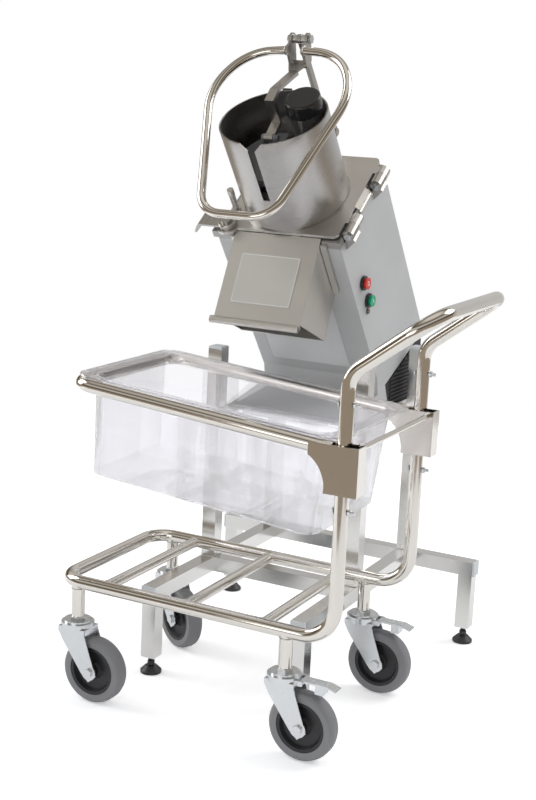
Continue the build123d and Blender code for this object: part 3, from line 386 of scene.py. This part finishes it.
dress(column_paint, "column_shell")

# The access panel in the front is a flat sheet, screwed in place. It has the
# same coat as the folded sides; its paler colour is painted light, standing for
# the front catching more of the light than the folded sides.
panel_paint_with_painted_light = moulded_plastic(
    # Painted light: this lighter grey is the column's coat brightened as if lit from the front.
    "powder_coat_painted_light", (0.60, 0.605, 0.605), 0.45, 1500, 0.12, (0.70, 0.70, 0.69),
)
dress(panel_paint_with_painted_light, "front_panel")

# The rear cover is ribbed black plastic, and the gland on the back carries
# the same matt skin.
ribbed_black = moulded_plastic("ribbed_black_plastic", (0.018, 0.018, 0.019), 0.55, 900, 0.2)
dress(ribbed_black, "rear_cover", "cable_gland", "control_box")

# Under the feeder sits the cast chamber, blasted and left bare. Its outlet
# runs into a chute of brushed sheet with a folded front lip.
LEAN = math.radians(-37.5)
cast = brushed_metal(
    "blasted_aluminium", (0.46, 0.46, 0.45), (0.40, 0.40, 0.39), 0.46, NO_TURN, EVEN, 900.0, 0.2,
)
dress(cast, "cutting_chamber", "bearing_housing", "drive_motor", "ejector_plate")
chute_steel = brushed_metal(
    "brushed_chute_sheet", (0.64, 0.625, 0.60), (0.57, 0.555, 0.53), 0.36,
    (LEAN, 0, 0), (50, 50, 1), 34.0, 0.05,
)
dress(chute_steel, "outlet_chute", "chute_front_plate")

# A bare plate of thin aluminium is glued to the front of the chute, with a
# fine pale line printed round its edge.
LEANING = Matrix.Translation((-0.08925, 0.0215, 0.935)) @ Matrix.Rotation(-LEAN, 4, "X")
CHUTE_DROP = 0.1525
CHUTE_REACH = 0.079
CHUTE_SLOPE = math.atan2(CHUTE_DROP, CHUTE_REACH)
CHUTE_FACE = LEANING @ Matrix.Translation((0, -0.101, -0.0071)) @ Matrix.Rotation(-CHUTE_SLOPE, 4, "X")


def slab(outline, out, thick, soft=0.0003):
    """Flat plate on a loop of points, with a small bevel on its outer side."""
    count = len(outline)
    middle = sum(outline, Vector()) / count
    low = list(outline)
    wall = [p + out * (thick - soft) for p in outline]
    top = [p + out * thick - (p - middle).normalized() * soft for p in outline]
    faces = []
    for start in (0, count):
        for i in range(count):
            n = (i + 1) % count
            faces.append([start + i, start + n, start + count + n, start + count + i])
    faces += [list(range(2 * count, 3 * count)), list(reversed(range(count)))]
    return low + wall + top, faces


def on_face(frame_matrix, path):
    """Turn a level loop upright and place it on a sloped face."""
    return [frame_matrix @ Vector((p.x, 0, p.y)) for p in path]


plate_alloy = brushed_metal(
    "bare_plate_alloy", (0.66, 0.66, 0.65), (0.62, 0.62, 0.61), 0.42, NO_TURN, EVEN, 600.0, 0.03,
)
PLATE_MIDDLE = Vector((-0.002, -0.0915, 0))
PLATE_HALF = (0.063, 0.050)
PLATE_THICK = 0.0006
LINE_INSET = 0.0025
outward = (CHUTE_FACE.to_3x3() @ Vector((0, -1, 0))).normalized()
edge_loop = on_face(CHUTE_FACE, rounded_path(PLATE_MIDDLE, *PLATE_HALF, 0.004))
plate = slab(edge_loop, outward, PLATE_THICK)
mesh_piece("bare_chute_plate", [plate], plate_alloy, "machine")
line_print = moulded_plastic("pale_print", (0.80, 0.80, 0.79), 0.5, 900, 0.02)
line_path = rounded_path(PLATE_MIDDLE, PLATE_HALF[0] - LINE_INSET, PLATE_HALF[1] - LINE_INSET, 0.003)
line_loop = [p + outward * PLATE_THICK for p in on_face(CHUTE_FACE, line_path)]
border = bead(line_loop, 0.0004, around=6)
mesh_piece("chute_plate_border", [border], line_print, "machine")

# The feeder tips up on two hinges at the right. Their knuckles and gussets
# are satin sheet, the bolts through them are zinc plated, and the feeder's
# flange is a plate brushed along its length.
bracket_steel = brushed_metal(
    "satin_bracket_sheet", (0.50, 0.485, 0.465), (0.44, 0.425, 0.41), 0.30,
    (LEAN, 0, 0), (40, 1, 40), 40.0, 0.04,
)
zinc = brushed_metal(
    "bright_zinc", (0.70, 0.72, 0.735), (0.63, 0.65, 0.67), 0.25, NO_TURN, EVEN, 700.0, 0.04,
)
dress(bracket_steel, "hinge_brackets", "lever_bracket", "latch_arm")
flange_steel = brushed_metal(
    "satin_flange_plate", (0.66, 0.645, 0.62), (0.59, 0.575, 0.55), 0.38,
    (LEAN, 0, 0), (1, 50, 50), 30.0, 0.04,
)
dress(flange_steel, "feeder_flange")
dress(zinc, "hinge_pins", "yoke_bolt", "shaft_bearings", "drive_shaft", "lock_pins")

# The feed cylinder is rolled sheet, slotted in front and ground on the lathe,
# so its grain runs round it. The small tube is the same inside it.
turned_steel = brushed_metal(
    "turned_cylinder_steel", (0.50, 0.49, 0.48), (0.455, 0.445, 0.435), 0.31,
    (LEAN, 0, 0), (1, 1, 50), 36.0, 0.04,
)
dress(turned_steel, "feed_cylinder", "feed_tube")

# The latch hooks over a threaded post that is screwed into the flange's
# front corner. Its thread is coarse, so that it can be set by hand.
LATCH_POST_AT = (-0.104, -0.058)
LATCH_POST_R = 0.0050
LATCH_THREAD_START = 0.0135
LATCH_THREAD_PITCH = 0.0024
axis_up = LEANING.to_3x3() @ Vector((0, 0, 1))
threads = []
for turn in range(13):
    centre = LEANING @ Vector((*LATCH_POST_AT, LATCH_THREAD_START + LATCH_THREAD_PITCH * turn))
    threads.append(bead(ring_path(centre, axis_up, LATCH_POST_R, 28), 0.0010, around=6))
mesh_piece("latch_post_threads", threads, zinc, "feeder")

# The push linkage is a ground flat lever, a yoke with a cranked bar and a
# loop handle of polished tube, all stainless. The half-moon plate on its
# end is black plastic.
polished_tube = brushed_metal(
    "polished_tube", (0.74, 0.71, 0.665), (0.69, 0.66, 0.615), 0.11, NO_TURN, EVEN, 500.0, 0.012,
)
dress(polished_tube, "handle_loop")
LOOP_END = (0.0189, 0.135, 0.240)
LOOP_R = 0.0080
loop_ends = []
for side in (-1, 1):
    end = LEANING @ Vector((side * LOOP_END[0], LOOP_END[1], LOOP_END[2]))
    loop_ends.append(bead(ring_path(end, (1, 0, 0), LOOP_R), 0.0012, ripple=0.25))
mesh_piece("loop_handle_welds", loop_ends, weld_steel, "handle")
dress(bracket_steel, "lever_bar", "handle_yoke")
dress(moulded_plastic("pusher_plate_plastic", (0.13, 0.13, 0.135), 0.42, 600, 0.1), "pusher_plate")

# The small tube's pusher is turned from black acetal and has a rounded top.
# The stop that the lever rests on is plain black rubber, as the belt is.
dress(moulded_plastic("black_acetal", (0.012, 0.012, 0.013), 0.24, 1100, 0.05), "tube_pusher")
black_rubber = moulded_plastic("black_rubber", (0.02, 0.02, 0.02), 0.7, 700, 0.25)
dress(black_rubber, "rubber_stop", "drive_belt")

# Buttons: a red stop cap and a green start cap in black bezels, with a
# pilot lamp under them.
dress(moulded_plastic("bezel_black", (0.02, 0.02, 0.021), 0.35, 900, 0.05), "button_bezels")
dress(moulded_plastic("stop_red", (0.62, 0.03, 0.02), 0.28, 900, 0.03), "stop_button")
dress(moulded_plastic("start_green", (0.0, 0.33, 0.16), 0.28, 900, 0.03), "start_button")
white_mark = moulded_plastic("white_mark", (0.82, 0.82, 0.80), 0.4, 900, 0.02)
BUTTON_FACE = 0.1421
BUTTON_W = -0.063
STOP_H = -0.1496
START_H = -0.196
RING_HALF = (0.0030, 0.0046)
BAR_HALF = (0.0007, 0.0046)
nought = []
for t in range(40):
    turn = t / 20 * math.pi
    ring_w = BUTTON_W + RING_HALF[0] * math.cos(turn)
    ring_h = STOP_H + RING_HALF[1] * math.sin(turn)
    nought.append(LEANING @ Vector((BUTTON_FACE, ring_w, ring_h)))
mesh_piece("stop_mark", [bead(nought, 0.0006, around=6)], white_mark, "stop")
stroke = []
for side_w, side_h in ((-1, -1), (1, -1), (1, 1), (-1, 1)):
    bar_w = BUTTON_W + side_w * BAR_HALF[0]
    bar_h = START_H + side_h * BAR_HALF[1]
    stroke.append(LEANING @ Vector((BUTTON_FACE - 0.0002, bar_w, bar_h)))
raised = slab(stroke, Vector((1, 0, 0)), 0.0006, 0.0001)
mesh_piece("start_mark", [raised], white_mark, "start")
dress(moulded_plastic("lamp_lens", (0.10, 0.07, 0.03), 0.12, 900, 0.02), "pilot_lamp")

# Inside the machine a motor drives the cutting disc through two cast
# pulleys and a belt. The disc is turned from sheet like the cylinder.
dress(cast, "drive_pulley", "motor_pulley")
dress(turned_steel, "cutting_disc")

# The container is clear polycarbonate, moulded with a flat rim that hangs
# on the holder's tubes.
clear, shader = start_material("clear_polycarbonate")
shader.inputs["Base Color"].default_value = (0.93, 0.925, 0.96, 1)
shader.inputs["Roughness"].default_value = 0.03
shader.inputs["Transmission Weight"].default_value = 1.0
shader.inputs["IOR"].default_value = 1.32
shader.inputs["Alpha"].default_value = 0.62
dress(clear, "food_container")

# The rim of the tub is rounded over and a small shoulder runs under it, so
# that tubs stack without jamming.
HOLDER_TILT = math.radians(4.8)
TILTED = Matrix.Translation((0.21375, -MIDDLE_Y, 0.557)) @ Matrix.Rotation(HOLDER_TILT, 4, "Y")
TUB_MIDDLE = Vector((-0.283, 0.1675, 0.01252))
RIM_HALF = (0.265, 0.1625)
SHOULDER_HALF = (0.2425, 0.1495)
rim_path = rounded_path(TUB_MIDDLE + Vector((0, 0, 0.0015)), *RIM_HALF, 0.032, 8)
rim_loop = [TILTED @ p for p in rim_path]
shoulder_path = rounded_path(TUB_MIDDLE - Vector((0, 0, 0.018)), *SHOULDER_HALF, 0.0415, 8)
shoulder_loop = [TILTED @ p for p in shoulder_path]
rolled = [bead(rim_loop, 0.0017), bead(shoulder_loop, 0.0012)]
mesh_piece("tub_rim_bead", rolled, clear, "container")

# The trolley is bent from the same polished tube as the loop handle. Its
# cross tubes and caster stems are welded to the side tubes all round, and
# the bead is left as it is.
dress(polished_tube, "trolley_base", "trolley_handle", "container_holder")
NEAR_Y = -0.3715
FAR_Y = -0.0365
BASE_Z = 0.226
CROSS_X = (0.057 - MIDDLE_X, 0.228 - MIDDLE_X, 0.385 - MIDDLE_X)
CROSS_R = 0.0100
STEM_X = (-0.30925, 0.12475)
CASTER_STEM_R = 0.0119
welds = []
for x in CROSS_X:
    for y, step in ((NEAR_Y, 1), (FAR_Y, -1)):
        ring = ring_path((x, y + step * 0.0108, BASE_Z), (0, 1, 0), CROSS_R)
        welds.append(bead(ring, 0.0013, ripple=0.25))
for x in STEM_X:
    for y in (NEAR_Y, FAR_Y):
        ring = ring_path((x, y, BASE_Z - 0.0112), (0, 0, 1), CASTER_STEM_R)
        welds.append(bead(ring, 0.0012, ripple=0.25))
mesh_piece("trolley_welds", welds, weld_steel, "trolley")

# The casters have pressed forks and ball races of zinc plated steel, black
# plastic hubs and grey rubber tyres. The two on the right have brakes.
CORNERS = ("front_left", "front_right", "back_right", "back_left")
dress(zinc, "caster_races", *["caster_fork_" + corner for corner in CORNERS])
dress(zinc, "brake_pedal_front_right", "brake_pedal_back_right")
hub_black = moulded_plastic("hub_black", (0.012, 0.012, 0.014), 0.42, 800, 0.08)
dress(hub_black, *["wheel_hub_" + corner for corner in CORNERS])
tyre_grey = moulded_plastic("tyre_grey", (0.20, 0.20, 0.205), 0.6, 600, 0.2)
dress(tyre_grey, *["wheel_tyre_" + corner for corner in CORNERS])

# Each brake pedal is pressed from plate. Ribs across its tread stop a shoe
# from slipping off.
RIB_START = 0.060
RIB_PITCH = 0.0045
RIB_HALF = (0.0009, 0.0095)
for y, corner in ((NEAR_Y, "front_right"), (FAR_Y, "back_right")):
    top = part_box("brake_pedal_" + corner)[1][2]
    ribs = []
    for step in range(5):
        middle = Vector((STEM_X[1] + RIB_START + RIB_PITCH * step, y, top - 0.0002))
        outline = rounded_path(middle, *RIB_HALF, 0.0006, 3)
        ribs.append(slab(outline, Vector((0, 0, 1)), 0.0008, 0.0002))
    mesh_piece("pedal_ribs_" + corner, ribs, zinc, "brake_" + corner)

# The studio: a white paper floor that runs on into a white sweep behind the
# machine, with the warm, dim room behind the photographer in front of it.
PAPER_SIZE = 3.8
bpy.ops.mesh.primitive_plane_add(size=PAPER_SIZE, location=(-0.1, 0.3, -0.0005))
floor = bpy.context.object
floor.name = "studio_floor"
paper, shader = start_material("white_paper")
links = paper.node_tree.links
shader.inputs["Base Color"].default_value = (0.93, 0.93, 0.93, 1)
shader.inputs["Roughness"].default_value = 0.85
ray = paper.node_tree.nodes.new("ShaderNodeLightPath")
FLOOR_LIFT = 0.36
MIRRORED_LIFT = 0.14
tree = paper.node_tree
bent = math_node(tree, "ADD", ray.outputs["Is Glossy Ray"], ray.outputs["Is Transmission Ray"], clamp=True)
bent = math_node(tree, "MULTIPLY", bent, MIRRORED_LIFT)
seen = math_node(tree, "MULTIPLY", ray.outputs["Is Camera Ray"], FLOOR_LIFT)
links.new(math_node(tree, "ADD", seen, bent), shader.inputs["Emission Strength"])
shader.inputs["Emission Color"].default_value = (1, 1, 1, 1)
floor.data.materials.append(paper)

world = bpy.data.worlds.new("studio")
world.use_nodes = True
bpy.context.scene.world = world
tree = world.node_tree
place = tree.nodes.new("ShaderNodeTexCoord")
apart = tree.nodes.new("ShaderNodeSeparateXYZ")
tree.links.new(place.outputs["Generated"], apart.inputs[0])
room = tree.nodes.new("ShaderNodeValToRGB")
ROOM_BANDS = (
    (0.00, (0.36, 0.30, 0.235)),
    (0.07, (0.24, 0.20, 0.15)),
    (0.16, (0.06, 0.045, 0.03)),
    (0.30, (0.14, 0.12, 0.09)),
    (0.44, (0.58, 0.55, 0.50)),
    (0.58, (0.72, 0.69, 0.64)),
    (0.71, (0.06, 0.05, 0.03)),
    (0.84, (0.34, 0.30, 0.25)),
    (0.96, (0.80, 0.77, 0.72)),
)
ramp = room.color_ramp
for index, (height, colour) in enumerate(ROOM_BANDS):
    stop = ramp.elements[index] if index < 2 else ramp.elements.new(height)
    stop.position = height
    stop.color = (*colour, 1)
tree.links.new(apart.outputs["Z"], room.inputs["Fac"])
rear = tree.nodes.new("ShaderNodeMapRange")
rear.inputs["From Min"].default_value = 0.66
rear.inputs["From Max"].default_value = 0.98
tree.links.new(apart.outputs["Y"], rear.inputs["Value"])
sweep = tree.nodes.new("ShaderNodeMix")
sweep.data_type = "RGBA"
sweep.inputs["B"].default_value = (0.70, 0.70, 0.70, 1)
tree.links.new(rear.outputs["Result"], sweep.inputs["Factor"])
tree.links.new(room.outputs["Color"], sweep.inputs["A"])
SKY_FILL = (0.55, 0.56, 0.58, 1)
ray = tree.nodes.new("ShaderNodeLightPath")
mirrored = tree.nodes.new("ShaderNodeMix")
mirrored.data_type = "RGBA"
mirrored.inputs["A"].default_value = SKY_FILL
tree.links.new(ray.outputs["Is Glossy Ray"], mirrored.inputs["Factor"])
tree.links.new(sweep.outputs["Result"], mirrored.inputs["B"])
behind = tree.nodes.new("ShaderNodeMix")
behind.data_type = "RGBA"
behind.inputs["B"].default_value = (1, 1, 1, 1)
through = ray.outputs["Is Transmission Ray"]
through = math_node(tree, "ADD", ray.outputs["Is Camera Ray"], through, clamp=True)
tree.links.new(through, behind.inputs["Factor"])
tree.links.new(mirrored.outputs["Result"], behind.inputs["A"])
tree.links.new(behind.outputs["Result"], tree.nodes["Background"].inputs["Color"])
tree.nodes["Background"].inputs["Strength"].default_value = 1.0


def soft_box(name, place, aim, size, power):
    """Area lamp at a place, turned to a point."""
    data = bpy.data.lights.new(name, "AREA")
    data.shape = "RECTANGLE"
    data.size, data.size_y = size
    data.energy = power
    lamp = bpy.data.objects.new(name, data)
    bpy.context.scene.collection.objects.link(lamp)
    lamp.location = place
    lamp.rotation_euler = (Vector(aim) - Vector(place)).to_track_quat("-Z", "Y").to_euler()


soft_box("soft_box_rear_right", (2.2, 2.0, 3.2), (0, 0, 0.4), (2.2, 2.2), 70)
soft_box("soft_box_left", (-3.0, -0.6, 2.0), (0, 0, 0.6), (1.6, 2.6), 48)
soft_box("soft_box_front", (-0.4, -3.2, 1.0), (0, 0, 0.7), (1.8, 1.2), 14)
bpy.context.scene.view_settings.view_transform = "Standard"
